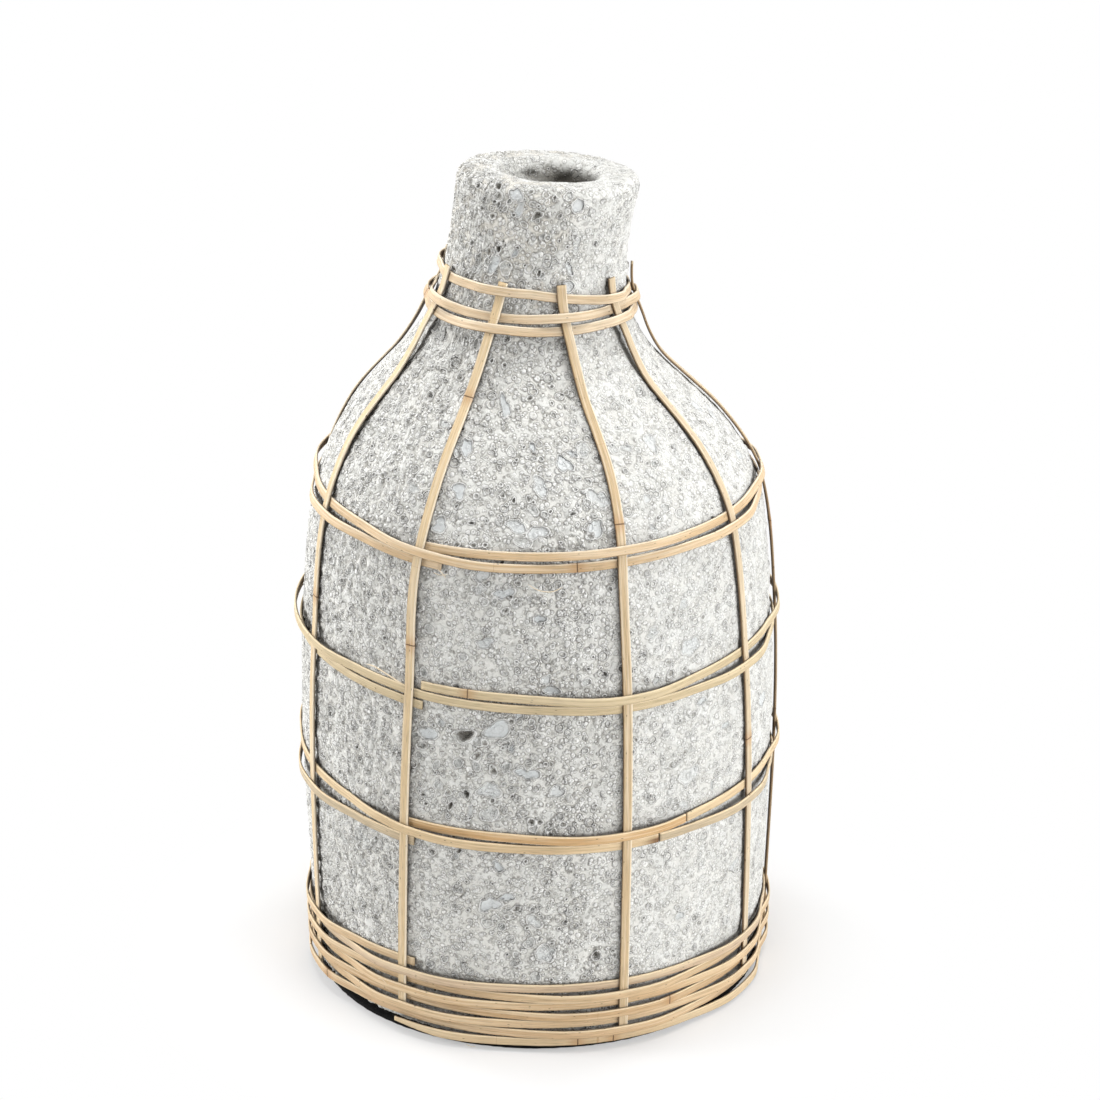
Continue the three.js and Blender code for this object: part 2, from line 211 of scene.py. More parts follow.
def route_length(points):
    """Lengths along a line of points, from its start."""
    return np.concatenate([[0], np.cumsum(np.linalg.norm(np.diff(points, axis=0), axis=1))])


def cane_place(angle, z, distance):
    """Points at a distance outside the cane's own surface, with the outward normals."""
    def at(a, h):
        return vase_point(a, h, cane_radius(h))

    along_turn = at(angle + PROBE, z) - at(angle - PROBE, z)
    along_rise = at(angle, z + PROBE) - at(angle, z - PROBE)
    normal = unit(np.cross(along_turn, along_rise))
    return at(angle, z) + normal * np.asarray(distance)[..., None], normal


def lumps(points, size, seed):
    """Smooth random values at points, from about -1 to 1, in lumps of a size."""
    shifted = points.reshape(-1, 3) / size + seed * 17.3
    values = [noise.noise(point) for point in shifted.tolist()]
    return np.array(values).reshape(points.shape[:-1])


def wobble(length, size, seed):
    """Smooth random values along a line."""
    points = np.zeros((len(length), 3))
    points[:, 0] = length
    return lumps(points, size, seed)


# Materials.
class Look:
    """The nodes of a material or the world, and short ways to add some."""

    def __init__(self, owner):
        owner.use_nodes = True
        self.owner = owner
        self.nodes = owner.node_tree.nodes
        self.links = owner.node_tree.links

    def put(self, socket, value):
        """Links a socket to a socket, or sets it to a value."""
        if isinstance(value, bpy.types.NodeSocket):
            self.links.new(value, socket)
        else:
            socket.default_value = value

    def add(self, kind, inputs=(), **settings):
        """A node with some of its settings and inputs set."""
        node = self.nodes.new(kind)
        for key, value in settings.items():
            setattr(node, key, value)
        for key, value in dict(inputs).items():
            self.put(node.inputs[key], value)
        return node

    def math(self, operation, *numbers):
        """One operation on one, two or three numbers."""
        return self.add("ShaderNodeMath", enumerate(numbers), operation=operation).outputs[0]

    def times(self, first, second):
        """The product of two numbers."""
        return self.math("MULTIPLY", first, second)

    def ramp(self, value, low, high, from_value=0.0, to_value=1.0):
        """A smooth step from one number to another as the value goes from low to high."""
        inputs = enumerate((value, low, high, from_value, to_value))
        return self.add("ShaderNodeMapRange", inputs, interpolation_type="SMOOTHSTEP").outputs[0]

    def fade(self, value, low, high, most=1.0):
        """A smooth fall from the most to 0 as the value goes from low to high."""
        return self.ramp(value, low, high, most, 0.0)

    def mix(self, share, first, second):
        """A mix of two colours."""
        inputs = {"Factor": share, "A": first, "B": second}
        return self.add("ShaderNodeMix", inputs, data_type="RGBA").outputs["Result"]

    def noise(self, vector, size, detail=2.0, rough=0.5):
        """Noise in lumps of about the given size in millimetres, for a vector in metres."""
        inputs = {"Vector": vector, "Scale": 1 / (size * MM), "Detail": detail, "Roughness": rough}
        return self.add("ShaderNodeTexNoise", inputs).outputs

    def attribute(self, name):
        """A number stored on the mesh."""
        return self.add("ShaderNodeAttribute", attribute_name=name).outputs["Fac"]

    def place(self):
        """The place on the object, in metres."""
        return self.add("ShaderNodeTexCoord").outputs["Object"]

    def finish(self, base, rough, height, **constants):
        """Sets the shader's colour, roughness, bump and plain values."""
        shader = self.nodes["Principled BSDF"]
        bump = self.add("ShaderNodeBump", {"Height": height, "Strength": 1.0, "Distance": MM})
        self.put(shader.inputs["Base Color"], base)
        self.put(shader.inputs["Roughness"], rough)
        self.put(shader.inputs["Normal"], bump.outputs["Normal"])
        for key, value in constants.items():
            shader.inputs[key].default_value = value
        return self.owner


def colour(red, green, blue):
    """A colour written as 0 to 255 in a picture, as the shader's linear values."""
    linear = []
    for channel in (red, green, blue):
        share = channel / 255
        linear.append(share / 12.92 if share <= 0.04045 else ((share + 0.055) / 1.055) ** 2.4)
    return (*linear, 1.0)


def spots(look, vector, size, radius, least):
    """Scattered spots: millimetres past the edge, share of the radius, presence, chance."""
    cell = look.add("ShaderNodeTexVoronoi", {"Vector": vector, "Scale": 1 / (size * MM)})
    spread = look.add("ShaderNodeSeparateColor", {"Color": cell.outputs["Color"]})
    distance = look.times(cell.outputs["Distance"], size)
    reach = look.math("MULTIPLY_ADD", spread.outputs["Red"], radius[1] - radius[0], radius[0])
    edge = look.math("SUBTRACT", distance, reach)
    share = look.math("DIVIDE", distance, reach)
    there = look.ramp(spread.outputs["Green"], least, least + 0.02)
    return edge, share, there, spread.outputs["Blue"]


def line(look, value, middle, narrow, wide):
    """A soft line where a value is near its middle."""
    away = look.math("ABSOLUTE", look.math("SUBTRACT", value, middle))
    return look.fade(away, narrow, wide)


def domes(look, vector, size, radius, least):
    """Rounded bumps of the crust: their rise, the crease round each and its pale lip.

    The crease is painted shade and the lip a painted highlight.
    """
    edge, _, there, chance = spots(look, vector, size, radius, least)
    rise = look.times(look.fade(edge, -0.55, 0.08), look.ramp(chance, 0.0, 1.0, 0.55, 1.0))
    outline = line(look, edge, 0.2, 0.06, 0.34)
    lip = line(look, edge, -0.3, 0.08, 0.4)
    parts = {"dome": rise, "outline": outline, "lip": lip}
    return {key: look.times(part, there) for key, part in parts.items()}


def bubbles(look, vector, size, radius, least):
    """Bubbles cut open: their lip, the groove round it, the inside and the dark core.

    The lip is a painted highlight; the groove and the core are painted shade.
    """
    edge, share, there, chance = spots(look, vector, size, radius, least)
    core = look.times(look.fade(share, 0.25, 0.6), look.ramp(chance, 0.55, 0.7))
    parts = {
        "lip": line(look, edge, 0.0, 0.08, 0.38),
        "groove": line(look, edge, 0.56, 0.08, 0.38),
        "inside": look.fade(edge, -0.65, -0.2),
        "core": core,
    }
    return {key: look.times(part, there) for key, part in parts.items()}


def bent_place(look, place, size, reach):
    """The place pushed about by noise, so that round marks come out uneven."""
    def vector(operation, inputs):
        return look.add("ShaderNodeVectorMath", inputs, operation=operation).outputs[0]

    bend = look.noise(place, size, 1.0)["Color"]
    shift = vector("SUBTRACT", {0: bend, 1: (0.5, 0.5, 0.5)})
    return vector("ADD", {0: place, 1: vector("SCALE", {0: shift, "Scale": reach * MM})})


# Marks in the concrete's bump, as (name, maker, spacing, least and most radius, share left out).
BUMP_MARKS = [
    ("wide", domes, 5.6, (1.1, 2.3), 0.35),
    ("small", domes, 3.0, (0.6, 1.35), 0.15),
    ("tiny", domes, 2.1, (0.4, 0.85), 0.3),
    ("ring", bubbles, 6.6, (1.0, 2.4), 0.5),
    ("pore", bubbles, 4.2, (0.45, 1.1), 0.3),
]
# Soft lines along the edges of the modelled craters, as (name, distance outside the edge, widths): a
# painted highlight on the lip, and painted shade in the moat and just inside the edge.
EDGE_LINES = [
    ("edge_lip", 0.0, 0.1, 0.42), ("edge_moat", 0.66, 0.08, 0.4), ("edge_shadow", -0.6, 0.05, 0.4),
]
# Colours of painted shade in creases and of painted highlights on lips.
CREASE_SHADE = (118, 114, 106)
PALE = (252, 252, 250)
PALEST = (254, 254, 252)
# Colours laid over the concrete in turn, as (mark, share, colour). Specks and patches are the concrete's
# own colour;
# the lips and the tops of bumps and small domes are painted highlights, and the other marks are painted
# shade in hollows, creases, grooves, moats, pits, the mouth and under the cane.
LAYERS = [
    ("speck", 0.22, (188, 186, 180)), ("sunk_shade", 0.4, (142, 139, 131)), ("raised_highlight", 0.4, (248, 248, 246)),
    ("groove", 0.14, CREASE_SHADE), ("wide_outline", 0.42, CREASE_SHADE), ("tiny_outline", 0.38, CREASE_SHADE),
    ("tiny_lip", 0.75, PALE), ("small_outline", 0.48, CREASE_SHADE), ("small_dome", 0.3, (246, 246, 244)),
    ("wide_lip", 0.8, PALE), ("small_lip", 0.85, PALE), ("ring_groove", 0.46, CREASE_SHADE),
    ("ring_lip", 0.75, PALEST), ("ring_core", 0.5, (118, 113, 104)), ("pore_groove", 0.46, CREASE_SHADE),
    ("pore_lip", 0.75, PALEST), ("pore_core", 0.9, (78, 72, 62)), ("patch", 0.7, (224, 230, 233)),
    ("edge_moat", 0.45, CREASE_SHADE), ("edge_shadow", 0.35, (132, 129, 122)), ("edge_lip", 0.8, PALEST),
    ("hole", 0.75, (100, 95, 86)), ("inner", 0.95, (96, 93, 86)), ("shade", 0.7, (80, 74, 64)),
]
# What the marks add to the bump, in millimetres.
RELIEFS = [
    ("groove", -0.25), ("wide_dome", 1.0), ("small_dome", 1.0), ("tiny_dome", 0.65), ("ring_lip", 0.75),
    ("ring_inside", -1.1), ("pore_lip", 0.45), ("pore_inside", -1.0), ("edge_lip", 0.5),
]


def concrete_marks(look, place):
    """The concrete's marks by name: numbers stored on the mesh, noise, bumps and bubbles."""
    marks = {key: look.attribute(key) for key in ("patch", "cavity", "hole", "inner", "shade", "tan")}
    quiet = look.attribute("calm")
    rough = look.ramp(look.math("MAXIMUM", marks["patch"], quiet), 0.05, 0.95, 1.0, 0.12)
    bent = bent_place(look, place, 5.0, 1.6)
    swirl = look.noise(bent, 8.0, 1.0, 0.5)["Fac"]
    grain = look.noise(place, 0.9, 1.0, 0.6)["Fac"]
    crease = look.math("ABSOLUTE", look.math("SUBTRACT", swirl, 0.5))
    marks.update(rough=rough, swirl=swirl, grain=grain)
    marks["speck"] = look.fade(grain, 0.36, 0.54)
    # Painted shade in the hollows and painted highlights on the tops of bumps, from the cavity numbers.
    marks["sunk_shade"] = look.fade(marks["cavity"], -0.45, 0.0)
    marks["raised_highlight"] = look.ramp(marks["cavity"], 0.0, 0.45)
    # Creases of the swirl, which dip in the bump and carry painted shade.
    marks["groove"] = look.times(look.fade(crease, 0.0, 0.016), rough)
    for name, maker, size, radius, least in BUMP_MARKS:
        for key, part in maker(look, bent, size, radius, least).items():
            marks[f"{name}_{key}"] = look.times(part, rough)
    # The painted crater lines fade where the concrete is calm, as on the strongly lit right side.
    clear = look.ramp(quiet, 0.0, 0.6, 1.0, 0.55)
    outside = look.attribute("rim")
    for name, middle, narrow, wide in EDGE_LINES:
        marks[name] = look.times(clear, line(look, outside, middle, narrow, wide))
    return marks


def concrete():
    """Pale grey concrete: a crust of bumps with bubbles, pinholes, craters and patches."""
    look = Look(bpy.data.materials.new("concrete"))
    place = look.place()
    marks = concrete_marks(look, place)
    tone = look.noise(place, 18.0, 2.0, 0.55)["Fac"]
    tan = look.times(marks["tan"], look.fade(marks["swirl"], 0.42, 0.56))
    base = look.mix(marks["rough"], colour(233, 234, 232), colour(232, 232, 228))
    base = look.mix(look.fade(tone, 0.35, 0.65, 0.35), base, colour(208, 208, 203))
    base = look.mix(look.times(tan, 0.25), base, colour(206, 190, 164))
    for name, share, tint in LAYERS:
        base = look.mix(look.times(marks[name], share), base, colour(*tint))

    height = look.math("MULTIPLY_ADD", marks["swirl"], 3.0, look.times(marks["grain"], 0.3))
    height = look.times(height, marks["rough"])
    for name, rise in RELIEFS:
        height = look.math("MULTIPLY_ADD", marks[name], rise, height)
    rough = look.ramp(tone, 0.3, 0.7, 0.86, 0.97)
    return look.finish(base, rough, height, **{"Specular IOR Level": 0.2})


def cane(name, face, edge):
    """Split cane: lengthwise grain, one pale bevel, dark sides, flecks and joints.

    The pale bevel is a painted highlight; the dark sides are painted shade.
    """
    look = Look(bpy.data.materials.new(name))
    along = look.attribute("along")
    across = look.attribute("across")
    seed = look.attribute("seed")
    joint = look.math("ABSOLUTE", look.attribute("joint"))

    def lane(along_scale, across_scale):
        inputs = {"X": look.times(along, along_scale), "Y": look.times(across, across_scale), "Z": seed}
        return look.add("ShaderNodeCombineXYZ", inputs).outputs["Vector"]

    def grain(scale, detail):
        inputs = {"Vector": lane(0.012, 1.0), "Scale": scale, "Detail": detail}
        return look.add("ShaderNodeTexNoise", inputs).outputs["Fac"]

    fibre = grain(9.0, 3.0)
    broad = grain(1.7, 2.0)
    fleck = look.add("ShaderNodeTexVoronoi", {"Vector": lane(0.3, 2.2), "Scale": 1.0})
    chance = look.add("ShaderNodeSeparateColor", {"Color": fleck.outputs["Color"]}).outputs["Red"]
    dark = look.times(look.fade(fleck.outputs["Distance"], 0.1, 0.26), look.ramp(chance, 0.86, 0.9))
    crack = look.fade(joint, 0.1, 0.5, 0.85)
    burnt_side = look.ramp(across, -0.1, 0.5, 1.0, 0.25)
    deep = (*[channel * 0.55 for channel in face[:3]], 1.0)
    layers = [
        (look.fade(fibre, 0.3, 0.55, 0.7), deep),
        (look.ramp(broad, 0.42, 0.7, 0.0, 0.5), edge),
        # Painted highlight along the edge on the across side: the upper edge of a woven strip, a rib's
        # right edge.
        (look.ramp(across, 0.66, 0.8, 0.0, 0.85), edge),
        # Painted shade along the other edge.
        (look.fade(across, -0.97, -0.82, 0.7), colour(134, 104, 72)),
        (look.times(dark, 0.75), colour(96, 70, 46)),
        (look.fade(joint, 0.0, 7.0, 0.45), colour(184, 134, 86)),
        (crack, colour(84, 60, 38)),
        (look.times(look.attribute("burn"), burnt_side), colour(112, 74, 42)),
        # Painted shade towards the face that lies against the concrete.
        (look.fade(look.attribute("lift"), -0.9, 0.7, 0.92), colour(76, 56, 38)),
    ]
    base = face
    for share, tint in layers:
        base = look.mix(share, base, tint)
    height = look.math("MULTIPLY_ADD", crack, -0.2, look.times(fibre, 0.25))
    rough = look.ramp(broad, 0.3, 0.7, 0.5, 0.7)
    return look.finish(base, rough, height, **{"Specular IOR Level": 0.3})


def felt():
    """Black felt."""
    look = Look(bpy.data.materials.new("felt"))
    place = look.place()
    fuzz = look.noise(place, 0.5, 3.0, 0.7)["Fac"]
    blotch = look.noise(place, 9.0)["Fac"]
    base = look.mix(look.ramp(fuzz, 0.3, 0.75), colour(6, 6, 7), colour(26, 26, 27))
    base = look.mix(look.ramp(blotch, 0.4, 0.8, 0.0, 0.3), base, colour(16, 16, 17))
    constants = {"Specular IOR Level": 0.1, "Sheen Weight": 0.06, "Sheen Roughness": 0.5}
    return look.finish(base, 1.0, look.times(fuzz, 0.5), **constants)


# Meshes. In the bake map a tube's folds leave a margin, and its two end faces lie above them.
MAP_MARGIN = 0.03
MAP_TOP = 0.96
MAP_END_RADIUS = 0.015
MAP_END_PLACES = [(0.02, 0.98), (0.06, 0.98)]


def mesh_object(name, rings, folds, material, numbers=()):
    """A closed tube through rings of points in millimetres, with numbers per point and a bake map."""
    rows, columns = rings.shape[:2]
    mesh = bpy.data.meshes.new(name)
    mesh.from_pydata((rings.reshape(-1, 3) * MM).tolist(), [], tube_faces(rows, columns))
    for key, values in dict(numbers).items():
        attribute = mesh.attributes.new(key, "FLOAT", "POINT")
        values = np.broadcast_to(np.asarray(values, np.float32), (rows, columns))
        attribute.data.foreach_set("value", values.ravel())
    smooth = np.ones(len(mesh.polygons), bool)
    smooth[-2:] = False
    mesh.polygons.foreach_set("use_smooth", smooth)
    layer = mesh.uv_layers.new(name="OFBake")
    layer.data.foreach_set("uv", tube_map(rows, columns, folds).astype(np.float32).ravel())
    mesh.materials.append(material)
    piece = bpy.data.objects.new(name, mesh)
    bpy.context.scene.collection.objects.link(piece)
    return piece


def tube_corners(rows, columns):
    """Rows and sides of the four corners of each face between the rings of a tube."""
    row, side = np.meshgrid(np.arange(rows - 1), np.arange(columns), indexing="ij")
    return row[..., None] + np.array([0, 0, 1, 1]), side[..., None] + np.array([0, 1, 1, 0])


def tube_faces(rows, columns):
    """Faces between rings of points, with a face over each end."""
    row, side = tube_corners(rows, columns)
    quads = row * columns + side % columns
    start = list(range(columns - 1, -1, -1))
    end = list(range((rows - 1) * columns, rows * columns))
    return [*quads.reshape(-1, 4).tolist(), start, end]


def tube_map(rows, columns, folds):
    """Places in a square for the corners of a tube's faces, its length folded into bands."""
    row, side = tube_corners(rows, columns)
    length = math.ceil((rows - 1) / folds)
    fold = row[..., :1] // length
    up = (fold + MAP_MARGIN + (1 - 2 * MAP_MARGIN) * side / columns) / folds * MAP_TOP
    quads = np.stack([(row - fold * length) / length, up], axis=-1).reshape(-1, 2)
    turn = 2 * math.pi * np.arange(columns) / columns
    disc = np.stack([np.cos(turn), np.sin(turn)], axis=-1) * MAP_END_RADIUS
    return np.concatenate([quads, *[disc + np.array(place) for place in MAP_END_PLACES]])


def settle(piece, slot, *nodes):
    """Makes a piece part of the vase, in place of CAD nodes where it stands for some."""
    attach(piece, BODY)
    if nodes:
        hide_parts(*nodes)


# The concrete bottle. A place far from craters counts as this many millimetres outside one, and the
# skin's rows end down in the bore.
EDGE_FAR = 4.0
BORE_SKIN_END_Z = NECK_Z - 12


class Skin:
    """The bottle's skin as a grid of rows up the outside and down the mouth, with its relief."""

    def __init__(self):
        rows = np.array(self.profile())
        length = route_length(rows)
        self.path = np.arange(0, length[-1], SKIN_STEP)
        self.radius = np.interp(self.path, length, rows[:, 0])
        self.z = np.interp(self.path, length, rows[:, 1])
        self.rim_path = float(length[self.rim_row])
        self.side = np.where(SKIN_ANGLES > 180, SKIN_ANGLES - 360, SKIN_ANGLES)[None, :]
        self.points = vase_point(SKIN_ANGLES[None, :], self.z[:, None], self.radius[:, None])
        shape = self.points.shape[:2]
        self.height = np.zeros(shape)
        self.rim = np.full(shape, EDGE_FAR)
        self.hole = np.zeros(shape)
        self.patch = np.zeros(shape)
        self.shade = np.zeros(shape)
        self.set_tones()

    def set_tones(self):
        """Where the concrete is calm, where painted shade dims the inside of the mouth, and where it is
        tan.
        """
        depth = (self.path - self.rim_path)[:, None]
        near_rim = np.exp(-((depth - 2) / 10) ** 2)
        # Calmer concrete on the right side: its relief is smoother, and its dark marks fade as painted
        # light where the light falls strongest.
        smoother = ease(self.side, 2, 34) * fall(self.side, 120, 160)
        self.calm = np.maximum(0.5 * near_rim, 0.42 * smoother)
        # Painted shade in the mouth: strongest on the back right wall in the rim's shadow, and everywhere
        # deep in the bore.
        dim = 0.1 + 0.9 * ease(np.cos(np.radians(self.side - 120)), -0.6, 0.7)
        wall = ease(depth, 6 - 3 * dim, 20 - 7 * dim) * dim
        self.inner = np.maximum(wall, ease(depth, 26, 40))
        neck = ease(self.z, SLOPE_Z, NECK_Z)[:, None] * (depth < 0)
        self.tan = np.maximum(neck * (1 - smoother), 0.25)

    def profile(self):
        """Radius and height from the foot over the rim and down the bore, in close steps."""
        turn = np.linspace(0, math.pi / 2, 10)
        foot_z = FOOT_Z + FOOT_ROUND * (1 - np.cos(turn))
        rows = list(zip(body_radius(foot_z) - FOOT_ROUND * (1 - np.sin(turn)), foot_z))
        wall_z = np.arange(FOOT_Z + FOOT_ROUND + PROFILE_STEP, RIM_Z - RIM_ROUND, PROFILE_STEP)
        rows += list(zip(body_radius(wall_z), wall_z))
        rim_z = RIM_Z - RIM_ROUND * (1 - np.sin(turn))
        rows += list(zip(body_radius(rim_z) - RIM_ROUND * (1 - np.cos(turn)), rim_z))
        self.rim_row = len(rows)
        mouth_z = RIM_Z - MOUTH_ROUND * (1 - np.cos(turn))
        rows += list(zip(hollow_radius(mouth_z) + MOUTH_ROUND * (1 - np.sin(turn)), mouth_z))
        bore_z = np.arange(RIM_Z - MOUTH_ROUND - PROFILE_STEP, BORE_SKIN_END_Z, -PROFILE_STEP)
        rows += list(zip(hollow_radius(bore_z), bore_z))
        return rows

    def path_at(self, z):
        """Length along the outside of the skin at heights on the axis."""
        top = np.argmax(self.z)
        return np.interp(z, self.z[:top], self.path[:top])

    def window(self, angle, path, reach):
        """Rows and columns near a place, with the distances from it across and up the skin."""
        low = np.searchsorted(self.path, path - reach)
        high = np.searchsorted(self.path, path + reach)
        rows = np.arange(max(low, 0), min(high, len(self.path)))
        least_radius = max(self.radius[rows].min(), 8.0)
        half = int(math.ceil(reach / least_radius / math.radians(360 / SKIN_COLUMNS)))
        middle = int(round(angle * SKIN_COLUMNS / 360))
        columns = np.arange(middle - half, middle + half + 1)
        turn = np.radians(columns * 360 / SKIN_COLUMNS - angle)
        across = turn[None, :] * self.radius[rows][:, None]
        up = np.broadcast_to((self.path[rows] - path)[:, None], across.shape)
        return np.ix_(rows, columns % SKIN_COLUMNS), across, up

    def stamp(self, angle, path, size, kind, draw):
        """Presses one bubble, crater or patch into the skin."""
        window, across, up = self.window(angle, path, 1.7 * size + 2.5)
        lean = draw.uniform(0, math.pi)
        long_way = across * math.cos(lean) + up * math.sin(lean)
        short_way = up * math.cos(lean) - across * math.sin(lean)
        short_way = short_way / draw.uniform(*kind.stretch)
        bearing = np.arctan2(short_way, long_way)
        outline = 1
        for waves in (2, 3, 5):
            swing = kind.wobble * draw.uniform(0.2, 1.0) * 2 / waves
            outline = outline + swing * np.cos(waves * bearing + draw.uniform(0, 2 * math.pi))
        share = np.hypot(long_way, short_way) / (size * outline)
        edge = (share - 1) * size
        strength = draw.uniform(0.5, 1.2)
        core = kind.core * draw.uniform(0.7, 1.2)
        lip = np.exp(-(edge / 0.65) ** 2) - 0.4 * np.exp(-((edge - 1.3) / 0.6) ** 2)
        floor = fall(share, 0.6, 0.98)
        inside = fall(share, 0.8, 1.0)
        dark = fall(share, 0.5 * core, core) if core else np.zeros(share.shape)
        strength = strength * (1 - 0.75 * self.calm[window])
        if kind.ring:
            self.height[window] *= 1 - inside
            self.hole[window] *= 1 - inside
            rim = np.where(share < 0.8, EDGE_FAR, self.rim[window])
            self.rim[window] = np.where(np.abs(edge) < np.abs(rim), edge, rim)
        relief = kind.lip * lip + kind.floor * floor + kind.deep * dark
        self.height[window] += strength * relief
        most = np.minimum(strength, 1)
        # The dark core both deepens the pit and is kept here as painted shade.
        self.hole[window] = np.maximum(self.hole[window], dark * most)
        smooth = kind.smooth * inside * most
        self.patch[window] = np.maximum(self.patch[window] * (1 - inside), smooth)


# Depth of the relief below the plain skin, and the share kept of what still stands above it, so that
# strips under the ribs stay clear of the concrete.
RELIEF_SINK = 0.45
RELIEF_EASE = 0.35

# Swell of the concrete beside the ribs and its reach, which thin the ribs' shadow lines, and the
# distances from a band's edge over which it starts. The shade under the cane ends inside its edges.
RIB_SWELL = 1.0
SWELL_REACH = 10
BAND_CLEAR = (1, 8)
SHADE_INSET = 1.2

# A kind of mark in the concrete: its outline, heights in millimetres and shares of its radius.
Mark = namedtuple("Mark", "stretch wobble lip floor core deep smooth ring", defaults=(0, 0, 0, True))
PATCH = Mark((0.45, 0.9), 0.32, 0.25, -0.6, smooth=0.8)
RING = Mark((0.6, 1), 0.18, 0.35, -0.5, smooth=0.3)
CRATER = Mark((0.65, 1), 0.18, 0.4, -0.6, core=0.55, deep=-0.8)
PIT = Mark((0.5, 0.9), 0.2, 0.6, -0.9, core=0.75, deep=-1.5)
DOME = Mark((0.6, 1), 0.16, -0.3, 0.75, ring=False)

# Scattered marks, as (kind, count, least and most radius, how much they keep to rough places).
SCATTERED_MARKS = [
    (DOME, 2600, (1.3, 2.8), 0.4),
    (RING, 700, (1.3, 3.0), 0.8),
    (CRATER, 900, (1.0, 2.2), 1.6),
    (PATCH, 260, (2.2, 6.0), 0.6),
    (PIT, 40, (1.6, 3.2), 1.6),
]
MARK_SEED = 20
ROUGH_PLACE_SIZE = 42.0
RIM_BAND = 16
RIM_SHARE = 0.2

# Larger marks at the front, as (angle, height, radius, kind).
FRONT_MARKS = [
    (-17, 176, 5.4, PIT), (-14, 166, 2.9, CRATER), (-11, 148, 6, PATCH), (-11, 135, 4.4, RING),
    (-16.5, 144.5, 2.8, PIT), (-20.5, 137, 2.6, PIT), (-24, 137, 1.4, CRATER), (-21, 144, 1.9, CRATER),
    (-24, 158, 2.8, RING), (-18.5, 161, 2.8, RING), (-10, 158.5, 2.2, CRATER), (-7, 161, 2.8, RING),
    (-9, 181, 7, PATCH), (-2, 158, 5.5, PATCH), (-26, 174, 5, PATCH), (-5.5, 149, 3, RING),
    (4.7, 148, 4.2, PATCH), (19, 293, 5, PATCH), (16.3, 281, 5.4, PATCH), (11.4, 308, 5.2, PATCH),
    (3, 299.5, 5.4, PATCH), (-4.7, 283, 5, PATCH), (0.7, 280.5, 4.4, PATCH), (-21, 296, 4.2, PATCH),
    (-25.4, 280, 4, PATCH), (18.7, 312.7, 4.6, PATCH), (0.2, 290, 2.8, RING), (-3, 276, 4.2, RING),
    (-60.5, 425, 2.6, PIT), (-35, 427, 2.6, PIT), (-32.5, 422, 2.6, CRATER), (-31.5, 418, 1.6, CRATER),
    (-20.5, 424, 4.6, PATCH), (-17, 417.5, 4, PATCH), (-5.5, 415.5, 3.2, PIT), (-42.5, 419, 1.5, CRATER),
    (19, 421, 4.4, PATCH), (3.5, 424.5, 1.5, CRATER), (-12, 426.5, 1.5, CRATER), (-5.5, 390, 2.2, RING),
    (-41, 388, 4.4, PATCH), (-29, 390, 4, PATCH), (-34, 395, 1.8, CRATER), (-49, 397, 1.8, PIT),
    (-20.5, 389, 3.2, RING), (22.5, 401.5, 3.4, PATCH), (20, 390, 3.2, PATCH),
]

# Pits on the left wall of the mouth, as (angle, depth along the skin from the rim, radius).
MOUTH_PITS = [
    (255, 15, 2.4), (262, 20, 2.0), (246, 19, 1.8), (238, 14, 1.7), (270, 14, 1.8), (230, 22, 2.2),
]


def scatter(skin, kind, count, sizes, draw, crowd):
    """Marks of one kind spread over the skin, closer where the concrete is rougher."""
    weight = skin.radius / skin.radius.sum()
    made = 0
    while made < count:
        row = draw.choice(len(weight), p=weight)
        angle = draw.uniform(0, 360)
        point = vase_point(angle, skin.z[row], skin.radius[row])
        rough = noise.noise(Vector(point / ROUGH_PLACE_SIZE)) * 0.5 + 0.5
        size = sizes[0] + (sizes[1] - sizes[0]) * draw.random() ** 1.8
        near_rim = abs(skin.path[row] - skin.rim_path) < RIM_BAND
        keep = rough ** crowd * (RIM_SHARE if near_rim else 1)
        if draw.random() < keep:
            skin.stamp(angle, skin.path[row], size, kind, draw)
            made += 1


def softened(values, rounds):
    """Values of the skin blurred with their neighbours a number of times."""
    for _ in range(rounds):
        values = (np.roll(values, 1, axis=1) + 2 * values + np.roll(values, -1, axis=1)) / 4
        padded = np.pad(values, ((1, 1), (0, 0)), "edge")
        values = (padded[:-2] + 2 * values + padded[2:]) / 4
    return values


def add_crevices(skin):
    """Shades the concrete under the cane, and swells it beside the ribs clear of the bands."""
    beside_band = np.zeros(skin.height.shape)
    beside_rib = np.zeros(skin.height.shape)

    def shade_under(gap, width, there):
        under = fall(gap, width / 2 - SHADE_INSET, width / 2)
        skin.shade = np.maximum(skin.shade, under * there)

    for band in BANDS:
        crossing = np.linspace(*band.ends, BAND_POINTS)
        z = band.height(crossing)
        angle = crossing_angle(crossing, z)
        path = skin.path_at(z)
        half = band.width / 2
        for turn in range(math.floor(angle[0] / 360), math.ceil(angle[-1] / 360)):
            column = SKIN_ANGLES + 360 * turn
            there = (column > angle[0]) & (column < angle[-1])
            gap = np.abs(skin.path[:, None] - np.interp(column, angle, path)[None, :])
            shade_under(gap, band.width, there)
            beside = fall(gap, half + BAND_CLEAR[0], half + BAND_CLEAR[1])
            beside_band = np.maximum(beside_band, beside * there)
    for index, curve in enumerate(RIB_CURVES):
        away = (SKIN_ANGLES[None, :] - curve(skin.z)[:, None] + 180) % 360 - 180
        gap = np.abs(np.radians(away)) * skin.radius[:, None]
        along_rib = (skin.z < RIB_TOP_Z) & (skin.z > rib_end(index)) & (skin.path < skin.rim_path)
        there = along_rib[:, None]
        shade_under(gap, RIB_WIDTH, there)
        beside = fall(gap, RIB_WIDTH / 2, RIB_WIDTH / 2 + SWELL_REACH)
        beside_rib = np.maximum(beside_rib, beside * there)
    skin.height += RIB_SWELL * beside_rib * (1 - beside_band)


